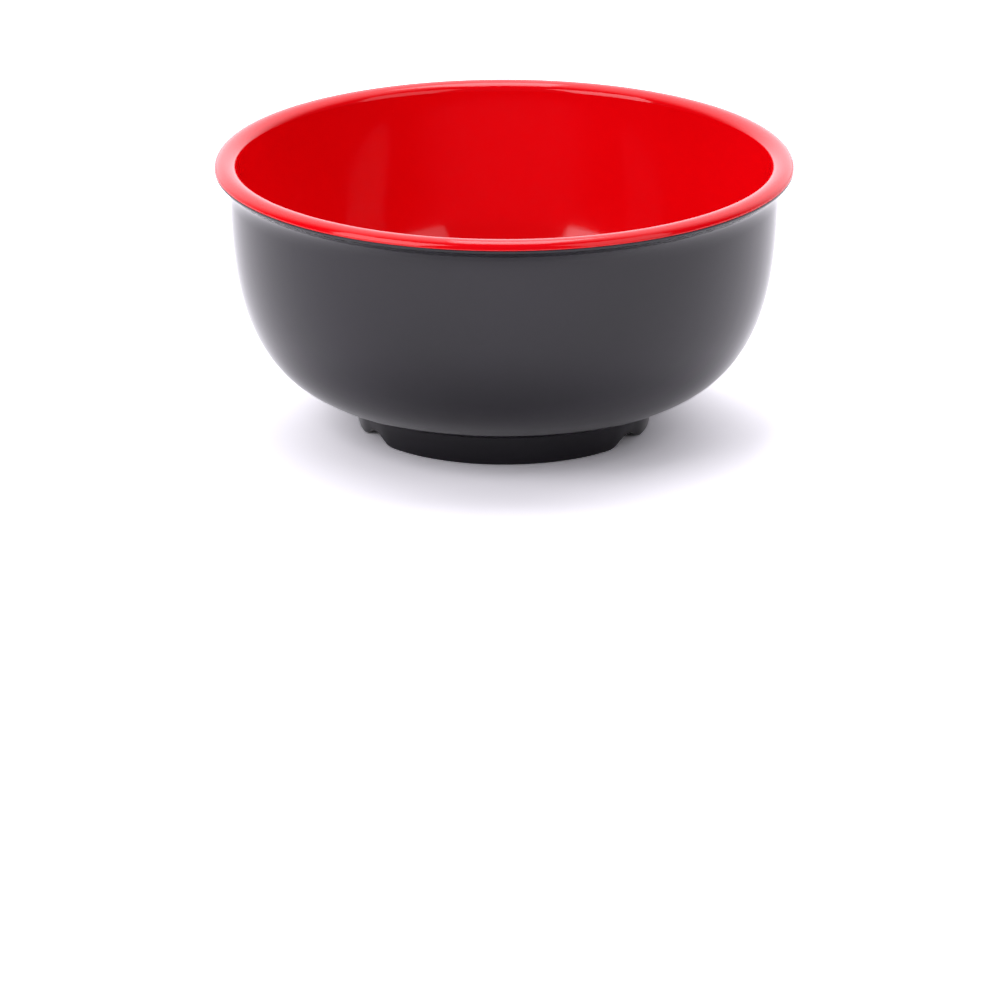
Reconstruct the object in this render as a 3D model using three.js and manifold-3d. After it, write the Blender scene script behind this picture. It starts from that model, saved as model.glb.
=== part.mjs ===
// A soup bowl moulded in two layers of melamine: a black outer shell that stands on a notched
// foot ring, and a red liner pressed into it that rolls over the lip.
// Millimetres, +Z up, axis on Z, standing on z = 0. Sections are drawn as (radius, height).

import * as THREE from "three";
import { mergeVertices } from "three/addons/utils/BufferGeometryUtils.js";
import Module from "manifold-3d";

// Overall size
const rimDiameter = 200;
const bowlHeight = 95;

// Layers of the wall, from the outside in
const shellThickness = 1.4;
const bondGap = 0.1;
const linerThickness = 1.2;

// Lip: a rounded crown above the widest ring, a fine rolled edge below it, a round shoulder inside
const crownWidth = 3.5;
const crownRise = 3;
const rollInset = 0.6;
const rollDrop = 1.1;
const rollSweep = 75;
const shoulderDrop = 3.2;

// Wall: how far the lip overhangs it, where its flare ends and how much it leans
const lipOverhang = 5.4;
const flareDrop = 10;
const wallLean = 1.2;

// Belly: a curve drawn out along the wall and along the base, then a shallow dish to the floor
const bellyWallPull = 38;
const bellyBasePull = 35;
const baseSlope = 9;
const dishBlend = 17;

// Foot ring
const footDiameter = 101;
const footHeight = 11.2;
const footDraft = 2;
const ringWidth = 2.8;
const ringEdge = 0.6;
const recessDraft = 1.6;
const recessFillet = 1.2;
const rootFillet = 1.2;

// Drain notches in the foot ring
const notchCount = 3;
const firstNotchAngle = 208;
const notchWidth = 24;
const notchDepth = 3.4;
const notchShoulder = 0.4;
const cutterMargin = 2;

// Fineness of the facets
const turnSegments = 60;
const bellySteps = 10;
const flareSteps = 7;
const crownSteps = 6;
const shoulderSteps = 8;
const rollSteps = 4;
const cornerSteps = 3;
const notchSteps = 8;
const weldDistance = 1e-4;

// Colours of the two moulding compounds
const black = new THREE.MeshStandardMaterial({ color: 0x141316, roughness: 0.2, metalness: 0 });
const red = new THREE.MeshStandardMaterial({ color: 0xd6000d, roughness: 0.18, metalness: 0 });

const wasm = await Module();
wasm.setup();

const { degToRad } = THREE.MathUtils;
const at = (radius, height) => new THREE.Vector2(radius, height);
const heading = (degrees) => at(Math.cos(degToRad(degrees)), Math.sin(degToRad(degrees)));
const along = (start, direction, length) => start.clone().addScaledVector(direction, length);

// Places that both layers share
const rimRadius = rimDiameter / 2;
const widestHeight = bowlHeight - crownRise;
const footRadius = footDiameter / 2;
const root = at(footRadius + footDraft, footHeight);
const floorHeight = footHeight - Math.tan(degToRad(baseSlope)) * (dishBlend / 2);
const upTheWall = heading(90 - wallLean);
const wallTop = at(rimRadius - lipOverhang, widestHeight - flareDrop);

// The point where two lines cross, each given by a point and a direction
function meet(pointA, directionA, pointB, directionB) {
  const between = pointB.clone().sub(pointA);
  const length = between.cross(directionB) / directionA.cross(directionB);
  return along(pointA, directionA, length);
}

function quadratic(start, control, end, steps) {
  return new THREE.QuadraticBezierCurve(start, control, end).getPoints(steps);
}

function ellipse(centre, radiusAcross, radiusUp, fromDegrees, toDegrees, steps) {
  const clockwise = toDegrees < fromDegrees;
  const from = degToRad(fromDegrees);
  const to = degToRad(toDegrees);
  const curve = new THREE.EllipseCurve(centre.x, centre.y, radiusAcross, radiusUp, from, to, clockwise);
  return curve.getPoints(steps);
}

// A corner between two straight runs, eased over the same setback on both sides
function easedCorner(before, corner, after, setback) {
  const start = along(corner, before.clone().sub(corner).normalize(), setback);
  const end = along(corner, after.clone().sub(corner).normalize(), setback);
  return quadratic(start, corner, end, cornerSteps);
}

function bellyCurve() {
  const baseControl = along(root, heading(baseSlope), bellyBasePull);
  const wallControl = along(wallTop, upTheWall, -bellyWallPull);
  return new THREE.CubicBezierCurve(root, baseControl, wallControl, wallTop);
}

// The roll under the widest ring, from its lower end up to that ring
function lipRoll() {
  const centre = at(rimRadius - rollInset, widestHeight);
  return ellipse(centre, rollInset, rollDrop, -rollSweep, 0, rollSteps);
}

// The concave flare that carries the wall out to the lip roll
function outerFlare() {
  const end = lipRoll()[0];
  const intoRoll = at(rollInset * Math.sin(degToRad(rollSweep)), rollDrop * Math.cos(degToRad(rollSweep)));
  const control = meet(wallTop, upTheWall, end, intoRoll);
  return quadratic(wallTop, control, end, flareSteps);
}

// The bowl's outer sheet without its foot, from the axis up to the lip roll
function outerSheet() {
  const dishStart = at(root.x - dishBlend, floorHeight);
  const dishControl = at(root.x - dishBlend / 2, floorHeight);
  const dish = quadratic(dishStart, dishControl, root, cornerSteps);
  const belly = bellyCurve().getSpacedPoints(bellySteps);
  return [at(0, floorHeight), ...dish, ...belly.slice(1), ...outerFlare().slice(1)];
}

// The outer sheet moved towards the inside by a depth
function innerSheet(depth) {
  const sheet = outerSheet();
  return sheet.map((point, i) => {
    const before = sheet[Math.max(i - 1, 0)];
    const after = sheet[Math.min(i + 1, sheet.length - 1)];
    const run = after.clone().sub(before).normalize();
    return at(point.x - run.y * depth, point.y + run.x * depth);
  });
}

// The face where a layer meets the other one, from the axis to the lap under the lip's crown
function bondFace(depth, lapHeight) {
  const sheet = innerSheet(depth).filter((point) => point.y < widestHeight);
  return [...sheet, at(rimRadius - depth, lapHeight), at(rimRadius, lapHeight)];
}

// The underside: recess, foot ring and the fillet where the ring meets the belly
function footOutline() {
  const centre = at(0, floorHeight);
  const recessCorner = at(footRadius - ringWidth - recessDraft, floorHeight);
  const innerEdge = at(footRadius - ringWidth, 0);
  const outerEdge = at(footRadius, 0);
  const belly = bellyCurve();
  const filletEnd = belly.getPointAt(rootFillet / belly.getLength());
  return [
    centre,
    ...easedCorner(centre, recessCorner, innerEdge, recessFillet),
    ...easedCorner(recessCorner, innerEdge, outerEdge, ringEdge),
    ...easedCorner(innerEdge, outerEdge, root, ringEdge),
    ...easedCorner(outerEdge, root, filletEnd, rootFillet),
  ];
}

function revolve(outline) {
  return new THREE.LatheGeometry(outline, turnSegments).rotateX(Math.PI / 2);
}

// Solids for cutting, and back again
function solidOf(geometry) {
  const bare = geometry.clone();
  bare.deleteAttribute("normal");
  bare.deleteAttribute("uv");
  const merged = mergeVertices(bare, weldDistance);
  const vertProperties = merged.attributes.position.array;
  const triVerts = new Uint32Array(merged.index.array);
  return new wasm.Manifold(new wasm.Mesh({ numProp: 3, vertProperties, triVerts }));
}

function geometryOf(solid) {
  const mesh = solid.getMesh();
  const geometry = new THREE.BufferGeometry();
  geometry.setAttribute("position", new THREE.BufferAttribute(mesh.vertProperties, 3));
  geometry.setIndex(new THREE.BufferAttribute(mesh.triVerts, 1));
  geometry.computeVertexNormals();
  return geometry;
}

// A bell-shaped bar that scoops one notch out of the ring, lying along the radius at an angle
function notchCutter(degrees) {
  const half = notchWidth / 2;
  const bell = new THREE.Shape();
  bell.moveTo(-half, -notchShoulder - cutterMargin);
  bell.lineTo(-half, -notchShoulder);
  bell.bezierCurveTo(-half / 2, -notchShoulder, -half / 2, notchDepth, 0, notchDepth);
  bell.bezierCurveTo(half / 2, notchDepth, half / 2, -notchShoulder, half, -notchShoulder);
  bell.lineTo(half, -notchShoulder - cutterMargin);
  const innerEnd = footRadius - ringWidth - recessDraft - cutterMargin;
  const outerEnd = footRadius + footDraft + cutterMargin;
  const bar = new THREE.ExtrudeGeometry(bell, {
    depth: outerEnd - innerEnd,
    curveSegments: notchSteps,
    bevelEnabled: false,
  });
  bar.translate(0, 0, innerEnd);
  bar.rotateX(Math.PI / 2);
  return bar.rotateZ(degToRad(degrees + 90));
}

function outerShell() {
  const belly = bellyCurve().getSpacedPoints(bellySteps);
  const outline = [
    ...footOutline(),
    ...belly.slice(1),
    ...outerFlare().slice(1),
    ...lipRoll().slice(1),
    ...bondFace(shellThickness, widestHeight).reverse().slice(1),
  ];
  let solid = solidOf(revolve(outline));
  for (let i = 0; i < notchCount; i += 1) {
    const angle = firstNotchAngle + (i * 360) / notchCount;
    solid = solid.subtract(solidOf(notchCutter(angle)));
  }
  const mesh = new THREE.Mesh(geometryOf(solid), black);
  mesh.name = "outer_shell";
  return mesh;
}

// The liner's inside from the lip's crest down to the axis
function linerInside() {
  const depth = shellThickness + bondGap + linerThickness;
  const flareStart = outerSheet().length - 1 - flareSteps;
  const wall = innerSheet(depth).slice(0, flareStart + 1);
  const shoulderCentre = at(rimRadius - crownWidth, bowlHeight - shoulderDrop);
  const shoulderFoot = meet(wall.at(-1), upTheWall, shoulderCentre, at(1, 0));
  const shoulderWidth = shoulderCentre.x - shoulderFoot.x;
  const shoulder = ellipse(shoulderCentre, shoulderWidth, shoulderDrop, 180, 90, shoulderSteps);
  return [...wall, ...shoulder].reverse();
}

function innerLiner() {
  const lapHeight = widestHeight + bondGap;
  const crownCentre = at(rimRadius - crownWidth, lapHeight);
  const crown = ellipse(crownCentre, crownWidth, bowlHeight - lapHeight, 0, 90, crownSteps);
  const outline = [
    ...bondFace(shellThickness + bondGap, lapHeight),
    ...crown.slice(1, -1),
    ...linerInside(),
  ];
  const mesh = new THREE.Mesh(revolve(outline), red);
  mesh.name = "inner_liner";
  return mesh;
}

const bowl = new THREE.Group();
bowl.add(outerShell(), innerLiner());

export default bowl;
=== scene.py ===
"""A two-layer melamine soup bowl, black outside and red inside, on a white studio table.

Metres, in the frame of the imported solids: +Z up along the bowl's axis, -Y towards the camera.
Sections are drawn as (radius, height) and turned about the axis.
"""
import math

import bpy
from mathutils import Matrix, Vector


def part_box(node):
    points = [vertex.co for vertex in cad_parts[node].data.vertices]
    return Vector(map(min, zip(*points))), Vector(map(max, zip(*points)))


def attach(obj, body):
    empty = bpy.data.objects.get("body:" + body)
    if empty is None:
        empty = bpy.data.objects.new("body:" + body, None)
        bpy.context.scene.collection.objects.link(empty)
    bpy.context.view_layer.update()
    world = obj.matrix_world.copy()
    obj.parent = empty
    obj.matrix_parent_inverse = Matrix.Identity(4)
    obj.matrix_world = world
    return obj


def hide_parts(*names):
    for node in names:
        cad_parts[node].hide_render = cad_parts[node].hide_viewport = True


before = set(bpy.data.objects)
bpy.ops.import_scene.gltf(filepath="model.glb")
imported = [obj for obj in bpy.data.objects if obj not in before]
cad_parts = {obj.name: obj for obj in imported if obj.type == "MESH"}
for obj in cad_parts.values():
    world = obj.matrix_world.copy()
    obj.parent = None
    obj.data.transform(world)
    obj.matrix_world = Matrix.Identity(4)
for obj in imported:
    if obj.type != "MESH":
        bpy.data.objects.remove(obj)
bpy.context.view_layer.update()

shell_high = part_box("outer_shell")[1]
liner_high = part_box("inner_liner")[1]

# Overall size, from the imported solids
RIM_RADIUS = liner_high.x
BOWL_HEIGHT = liner_high.z
WIDEST_HEIGHT = shell_high.z

# Layers of the wall, from the outside in
SHELL_THICKNESS = 0.0014
BOND_GAP = 0.0001
LINER_THICKNESS = 0.0012

# Lip: a rounded crown above the widest ring, a fine rolled edge below it, a round shoulder inside
CROWN_WIDTH = 0.0035
ROLL_INSET = 0.0006
ROLL_DROP = 0.0011
ROLL_SWEEP = math.radians(75)
SHOULDER_DROP = 0.0032
PARTING_EDGE = 0.00015

# Wall: how far the lip overhangs it, where its flare ends and how much it leans
LIP_OVERHANG = 0.0054
FLARE_DROP = 0.010
WALL_LEAN = math.radians(1.2)

# Belly: a curve drawn out along the wall and along the base, then a shallow dish to the floor
BELLY_WALL_PULL = 0.038
BELLY_BASE_PULL = 0.035
BASE_SLOPE = math.radians(9)
DISH_BLEND = 0.017

# Foot ring
FOOT_RADIUS = 0.0505
FOOT_HEIGHT = 0.0112
FOOT_DRAFT = 0.002
RING_WIDTH = 0.0028
RING_EDGE = 0.0006
RECESS_DRAFT = 0.0016
RECESS_FILLET = 0.0012
ROOT_FILLET = 0.0012

# Drain notches in the foot ring
NOTCH_COUNT = 3
FIRST_NOTCH_ANGLE = math.radians(208)
NOTCH_WIDTH = 0.022
NOTCH_DEPTH = 0.0034

# Fineness of the turned surfaces
TURN_COLUMNS = 240
NOTCH_COLUMNS = 36
BELLY_STEPS = 40
SHOULDER_STEPS = 24
CROWN_STEPS = 16
FLARE_STEPS = 16
CORNER_STEPS = 8
CREASE_ANGLE = math.radians(50)

# Melamine: palest and deepest tone of each colour, and the marks on its gloss
BLACK_TONES = (0.0075, 0.0058, 0.0105), (0.0042, 0.0032, 0.0062)
RED_TONES = (0.80, 0.0006, 0.005), (0.77, 0.0004, 0.004)
BLACK_ROUGHNESS = 0.1
RED_ROUGHNESS = 0.09
MELAMINE_IOR = 1.45
CLOUD_SCALE = 22
CLOUD_DETAIL = 3
RUB_SCALE = 160
RUB_DETAIL = 6
RUB_SPREAD = 0.25
WAVE_SCALE = 45
WAVE_DETAIL = 1
WAVE_HEIGHT = 0.000006
NOISE_LOW = 0.3
NOISE_HIGH = 0.7

# Camera, as the photograph was taken
LENS = 316.8
SENSOR = 36.0
AIM_POINT = Vector((-0.00143, -0.0875, 0.0))
CAMERA_DISTANCE = 2.98283
CAMERA_ELEVATION = math.radians(18.834)

# Studio
TABLE_HALF_SIZE = 6.0
TABLE_WHITE = (0.9, 0.9, 0.9, 1)
SHOWN_LIFT = 0.68
MIRRORED_LIFT = 0.3
DOME_LEAN = math.radians(58)
DOME_DARK = 0.05
DOME_BRIGHT = 1.9
DOME_FADE_START = 0.2
DOME_FADE_END = 0.85
LIGHT_TINT = (1.0, 0.97, 1.05)
LAMP_DISTANCE = 1.5


def at(radius, height):
    return Vector((radius, height))


def heading(angle):
    return at(math.cos(angle), math.sin(angle))


# Places that both layers share
ROOT = at(FOOT_RADIUS + FOOT_DRAFT, FOOT_HEIGHT)
FLOOR_HEIGHT = FOOT_HEIGHT - math.tan(BASE_SLOPE) * DISH_BLEND / 2
UP_THE_WALL = heading(math.pi / 2 - WALL_LEAN)
WALL_TOP = at(RIM_RADIUS - LIP_OVERHANG, WIDEST_HEIGHT - FLARE_DROP)


def meet(point_a, direction_a, point_b, direction_b):
    """The point where two lines cross."""
    between = point_b - point_a
    across = direction_a.x * direction_b.y - direction_a.y * direction_b.x
    length = (between.x * direction_b.y - between.y * direction_b.x) / across
    return point_a + direction_a * length


def shares(steps):
    return [i / steps for i in range(steps + 1)]


def quadratic(start, control, end, steps):
    return [start * (1 - t) ** 2 + control * 2 * t * (1 - t) + end * t ** 2 for t in shares(steps)]


def cubic(start, control_a, control_b, end, steps):
    return [
        start * (1 - t) ** 3
        + control_a * 3 * t * (1 - t) ** 2
        + control_b * 3 * t ** 2 * (1 - t)
        + end * t ** 3
        for t in shares(steps)
    ]


def ellipse(centre, radius_across, radius_up, start, end, steps):
    angles = [start + (end - start) * t for t in shares(steps)]
    return [centre + at(radius_across * math.cos(a), radius_up * math.sin(a)) for a in angles]


def eased_corner(before, corner, after, setback):
    """A corner between two straight runs, eased over the same setback on both sides."""
    start = corner + (before - corner).normalized() * setback
    end = corner + (after - corner).normalized() * setback
    return quadratic(start, corner, end, CORNER_STEPS)


def belly_curve():
    base_control = ROOT + heading(BASE_SLOPE) * BELLY_BASE_PULL
    wall_control = WALL_TOP - UP_THE_WALL * BELLY_WALL_PULL
    return cubic(ROOT, base_control, wall_control, WALL_TOP, BELLY_STEPS)


def lip_roll():
    """The roll under the widest ring, from its lower end up to that ring."""
    centre = at(RIM_RADIUS - ROLL_INSET, WIDEST_HEIGHT)
    return ellipse(centre, ROLL_INSET, ROLL_DROP, -ROLL_SWEEP, 0, CORNER_STEPS)


def outer_flare():
    """The concave flare that carries the wall out to the lip roll."""
    end = lip_roll()[0]
    into_roll = at(ROLL_INSET * math.sin(ROLL_SWEEP), ROLL_DROP * math.cos(ROLL_SWEEP))
    control = meet(WALL_TOP, UP_THE_WALL, end, into_roll)
    return quadratic(WALL_TOP, control, end, FLARE_STEPS)


def outer_sheet():
    """The bowl's outer sheet without its foot, from the axis up to the lip roll."""
    dish_start = at(ROOT.x - DISH_BLEND, FLOOR_HEIGHT)
    dish_control = at(ROOT.x - DISH_BLEND / 2, FLOOR_HEIGHT)
    dish = quadratic(dish_start, dish_control, ROOT, CORNER_STEPS)
    return [at(0, FLOOR_HEIGHT), *dish, *belly_curve()[1:], *outer_flare()[1:]]


def inner_sheet(depth):
    """The outer sheet moved towards the inside by a depth."""
    sheet = outer_sheet()
    moved = []
    for i, point in enumerate(sheet):
        before = sheet[max(i - 1, 0)]
        after = sheet[min(i + 1, len(sheet) - 1)]
        run = (after - before).normalized()
        moved.append(point + at(-run.y, run.x) * depth)
    return moved


def bond_face(depth, lap_height):
    """The face where a layer meets the other one, from the axis to the lap under the crown."""
    sheet = [point for point in inner_sheet(depth) if point.y < WIDEST_HEIGHT]
    return [*sheet, at(RIM_RADIUS - depth, lap_height)]


def foot_outline():
    """The underside: recess, foot ring and the fillet where the ring meets the belly."""
    centre = at(0, FLOOR_HEIGHT)
    recess_corner = at(FOOT_RADIUS - RING_WIDTH - RECESS_DRAFT, FLOOR_HEIGHT)
    inner_edge = at(FOOT_RADIUS - RING_WIDTH, 0)
    outer_edge = at(FOOT_RADIUS, 0)
    up_the_belly = ROOT + heading(BASE_SLOPE)
    return [
        centre,
        *eased_corner(centre, recess_corner, inner_edge, RECESS_FILLET),
        *eased_corner(recess_corner, inner_edge, outer_edge, RING_EDGE),
        *eased_corner(inner_edge, outer_edge, ROOT, RING_EDGE),
        *eased_corner(outer_edge, ROOT, up_the_belly, ROOT_FILLET),
    ]


def shell_outline():
    fillet_end = ROOT.x + ROOT_FILLET
    belly = [point for point in belly_curve() if point.x > fillet_end]
    roll = lip_roll()
    lap = bond_face(SHELL_THICKNESS, WIDEST_HEIGHT)
    corner = eased_corner(roll[-2], roll[-1], lap[-1], PARTING_EDGE)
    return [*foot_outline(), *belly, *outer_flare()[1:], *roll[1:-1], *corner, *reversed(lap)]


def liner_inside():
    """The liner's inside from the lip's crest down to the axis."""
    depth = SHELL_THICKNESS + BOND_GAP + LINER_THICKNESS
    wall = inner_sheet(depth)[:-FLARE_STEPS]
    centre = at(RIM_RADIUS - CROWN_WIDTH, BOWL_HEIGHT - SHOULDER_DROP)
    foot = meet(wall[-1], UP_THE_WALL, centre, at(1, 0))
    width = centre.x - foot.x
    shoulder = ellipse(centre, width, SHOULDER_DROP, math.pi, math.pi / 2, SHOULDER_STEPS)
    return [*wall, *shoulder][::-1]


def liner_outline():
    lap_height = WIDEST_HEIGHT + BOND_GAP
    crown_centre = at(RIM_RADIUS - CROWN_WIDTH, lap_height)
    rise = BOWL_HEIGHT - lap_height
    crown = ellipse(crown_centre, CROWN_WIDTH, rise, 0, math.pi / 2, CROWN_STEPS)
    lap = bond_face(SHELL_THICKNESS + BOND_GAP, lap_height)
    corner = eased_corner(lap[-1], crown[0], crown[1], PARTING_EDGE)
    return [*lap, *corner, *crown[1:-1], *liner_inside()]


def notch_angles():
    turn = 2 * math.pi / NOTCH_COUNT
    return [FIRST_NOTCH_ANGLE + i * turn for i in range(NOTCH_COUNT)]


def even_columns():
    return [2 * math.pi * i / TURN_COLUMNS for i in range(TURN_COLUMNS)]


def columns_round_notches():
    """Even columns all the way round, and finer ones across each notch."""
    reach = NOTCH_WIDTH / FOOT_RADIUS
    spans = [(angle % (2 * math.pi), reach / 2) for angle in notch_angles()]
    angles = []
    for angle in even_columns():
        if all(abs(angle - centre) > half for centre, half in spans):
            angles.append(angle)
    for centre, half in spans:
        angles += [centre - half + 2 * half * t for t in shares(NOTCH_COLUMNS)]
    return sorted(angles)


def smooth_rise(share):
    """A rise from 0 to 1 that starts and ends level."""
    return share ** 3 * (share * (share * 6 - 15) + 10)


def notch_lift(point, angle):
    """How far the foot ring is scooped up across a notch: most at the table, none at the recess floor."""
    for centre in notch_angles():
        turn = (angle - centre + math.pi) % (2 * math.pi) - math.pi
        share = 1 - abs(turn) * FOOT_RADIUS / (NOTCH_WIDTH / 2)
        if share > 0:
            return smooth_rise(share) * NOTCH_DEPTH * max(0.0, 1 - point.y / FLOOR_HEIGHT)
    return 0.0


def turned(name, outline, angles, lift=None):
    """A closed body of revolution: the outline runs from the axis round to the axis again."""
    rows = len(outline) - 2
    vertices = [(0, 0, outline[0].y), (0, 0, outline[-1].y)]
    for angle in angles:
        for point in outline[1:-1]:
            height = point.y + (lift(point, angle) if lift else 0.0)
            vertices.append((point.x * math.cos(angle), point.x * math.sin(angle), height))
    faces = []
    for i in range(len(angles)):
        here = 2 + i * rows
        there = 2 + (i + 1) % len(angles) * rows
        faces.append((0, there, here))
        faces += [(here + k, there + k, there + k + 1, here + k + 1) for k in range(rows - 1)]
        faces.append((1, here + rows - 1, there + rows - 1))
    mesh = bpy.data.meshes.new(name)
    mesh.from_pydata(vertices, [], faces)
    mesh.shade_smooth()
    mesh.set_sharp_from_angle(angle=CREASE_ANGLE)
    piece = bpy.data.objects.new(name, mesh)
    bpy.context.collection.objects.link(piece)
    return piece


def new_material(name):
    material = bpy.data.materials.new(name)
    material.use_nodes = True
    return material, material.node_tree.nodes, material.node_tree.links


def noise(nodes, links, coordinates, scale, detail):
    texture = nodes.new("ShaderNodeTexNoise")
    texture.inputs["Scale"].default_value = scale
    texture.inputs["Detail"].default_value = detail
    links.new(coordinates, texture.inputs["Vector"])
    return texture.outputs["Fac"]


def remap(nodes, links, value, low, high, to_low, to_high):
    node = nodes.new("ShaderNodeMapRange")
    node.inputs["From Min"].default_value = low
    node.inputs["From Max"].default_value = high
    node.inputs["To Min"].default_value = to_low
    node.inputs["To Max"].default_value = to_high
    links.new(value, node.inputs["Value"])
    return node.outputs["Result"]


def clouded_colour(nodes, links, place, pale, deep):
    clouds = noise(nodes, links, place, CLOUD_SCALE, CLOUD_DETAIL)
    colour = nodes.new("ShaderNodeValToRGB")
    colour.color_ramp.elements[0].position = NOISE_LOW
    colour.color_ramp.elements[0].color = (*deep, 1)
    colour.color_ramp.elements[1].position = NOISE_HIGH
    colour.color_ramp.elements[1].color = (*pale, 1)
    links.new(clouds, colour.inputs["Fac"])
    return colour.outputs["Color"]


def rubbed_gloss(nodes, links, place, roughness):
    rubbed = noise(nodes, links, place, RUB_SCALE, RUB_DETAIL)
    smooth = roughness * (1 - RUB_SPREAD)
    worn = roughness * (1 + RUB_SPREAD)
    return remap(nodes, links, rubbed, NOISE_LOW, NOISE_HIGH, smooth, worn)


def wavy_surface(nodes, links, place):
    waves = noise(nodes, links, place, WAVE_SCALE, WAVE_DETAIL)
    bump = nodes.new("ShaderNodeBump")
    bump.inputs["Distance"].default_value = WAVE_HEIGHT
    bump.inputs["Strength"].default_value = 1.0
    links.new(waves, bump.inputs["Height"])
    return bump.outputs["Normal"]


def melamine(name, tones, roughness):
    """Polished moulded melamine: faintly clouded colour, a slightly wavy gloss and fine rub marks."""
    material, nodes, links = new_material(name)
    shader = nodes["Principled BSDF"]
    shader.inputs["IOR"].default_value = MELAMINE_IOR
    place = nodes.new("ShaderNodeTexCoord").outputs["Object"]
    links.new(clouded_colour(nodes, links, place, *tones), shader.inputs["Base Color"])
    links.new(rubbed_gloss(nodes, links, place, roughness), shader.inputs["Roughness"])
    links.new(wavy_surface(nodes, links, place), shader.inputs["Normal"])
    return material


def show_bowl():
    black = melamine("black_melamine", BLACK_TONES, BLACK_ROUGHNESS)
    red = melamine("red_melamine", RED_TONES, RED_ROUGHNESS)
    shell = turned("black_shell", shell_outline(), columns_round_notches(), notch_lift)
    liner = turned("red_liner", liner_outline(), even_columns())
    for piece, node, slot, material in (
        (shell, "outer_shell", "black_melamine", black),
        (liner, "inner_liner", "red_melamine", red),
    ):
        piece.data.materials.append(material)
        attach(piece, "root")
        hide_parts(node)


def show_table():
    """A white table that fills the view; it shows white where no shadow falls."""
    size = TABLE_HALF_SIZE
    mesh = bpy.data.meshes.new("table")
    corners = [(-size, -size, 0), (size, -size, 0), (size, size, 0), (-size, size, 0)]
    mesh.from_pydata(corners, [], [(0, 1, 2, 3)])
    table = bpy.data.objects.new("table", mesh)
    bpy.context.collection.objects.link(table)
    table.data.materials.append(white_table())


def white_table():
    """A matt white sheet that shows brighter than it lights, so that it looks white."""
    material, nodes, links = new_material("white_table")
    nodes.remove(nodes["Principled BSDF"])
    paper = nodes.new("ShaderNodeBsdfDiffuse")
    paper.inputs["Color"].default_value = TABLE_WHITE
    lift = nodes.new("ShaderNodeBsdfDiffuse")
    lift.inputs["Color"].default_value = TABLE_WHITE
    path = nodes.new("ShaderNodeLightPath")
    share = remap(nodes, links, path.outputs["Is Camera Ray"], 0, 1, 0, SHOWN_LIFT)
    for ray in ("Is Glossy Ray", "Is Transmission Ray"):
        larger = nodes.new("ShaderNodeMath")
        larger.operation = "MAXIMUM"
        links.new(share, larger.inputs[0])
        links.new(remap(nodes, links, path.outputs[ray], 0, 1, 0, MIRRORED_LIFT), larger.inputs[1])
        share = larger.outputs[0]
    shown = nodes.new("ShaderNodeMixShader")
    links.new(share, shown.inputs["Fac"])
    links.new(lift.outputs[0], shown.inputs[2])
    both = nodes.new("ShaderNodeAddShader")
    links.new(paper.outputs[0], both.inputs[0])
    links.new(shown.outputs[0], both.inputs[1])
    links.new(both.outputs[0], nodes["Material Output"].inputs["Surface"])
    return material


def show_world():
    """A studio that is brightest behind the bowl and fades to dark on the camera's side."""
    world = bpy.data.worlds.new("studio")
    bpy.context.scene.world = world
    world.use_nodes = True
    nodes = world.node_tree.nodes
    links = world.node_tree.links
    towards = nodes.new("ShaderNodeVectorMath")
    towards.operation = "DOT_PRODUCT"
    towards.inputs[1].default_value = (0, math.sin(DOME_LEAN), math.cos(DOME_LEAN))
    links.new(nodes.new("ShaderNodeTexCoord").outputs["Generated"], towards.inputs[0])
    fade = nodes.new("ShaderNodeMapRange")
    fade.interpolation_type = "SMOOTHSTEP"
    fade.inputs["From Min"].default_value = DOME_FADE_START
    fade.inputs["From Max"].default_value = DOME_FADE_END
    fade.inputs["To Min"].default_value = DOME_DARK
    fade.inputs["To Max"].default_value = DOME_BRIGHT
    links.new(towards.outputs["Value"], fade.inputs["Value"])
    light = nodes["Background"]
    light.inputs["Color"].default_value = (*LIGHT_TINT, 1)
    links.new(fade.outputs["Result"], light.inputs["Strength"])


def softbox(name, azimuth, elevation, width, height, power):
    """A lamp panel that faces the bowl; azimuth runs from the camera's side, right positive."""
    lamp = bpy.data.lights.new(name, "AREA")
    lamp.shape = "RECTANGLE"
    lamp.size = width
    lamp.size_y = height
    lamp.energy = power
    lamp.color = LIGHT_TINT
    panel = bpy.data.objects.new(name, lamp)
    turn = math.radians(azimuth)
    rise = math.radians(elevation)
    level = math.cos(rise)
    outward = Vector((math.sin(turn) * level, -math.cos(turn) * level, math.sin(rise)))
    panel.location = outward * LAMP_DISTANCE
    panel.rotation_euler = outward.to_track_quat("Z", "Y").to_euler()
    bpy.context.collection.objects.link(panel)


def show_lamps():
    softbox("key_left", azimuth=-50, elevation=31, width=1.0, height=1.2, power=13.5)
    softbox("fill_right", azimuth=48, elevation=31, width=1.0, height=1.2, power=5)
    softbox("overhead", azimuth=172, elevation=80, width=0.5, height=1.0, power=7)


def place_camera():
    data = bpy.data.cameras.new("camera")
    data.sensor_width = SENSOR
    data.lens = LENS
    camera = bpy.data.objects.new("camera", data)
    back = Vector((0, -math.cos(CAMERA_ELEVATION), math.sin(CAMERA_ELEVATION)))
    camera.location = AIM_POINT + back * CAMERA_DISTANCE
    camera.rotation_euler = back.to_track_quat("Z", "Y").to_euler()
    bpy.context.collection.objects.link(camera)
    bpy.context.scene.camera = camera


show_bowl()
show_table()
show_world()
show_lamps()
place_camera()
bpy.context.scene.view_settings.view_transform = "Standard"
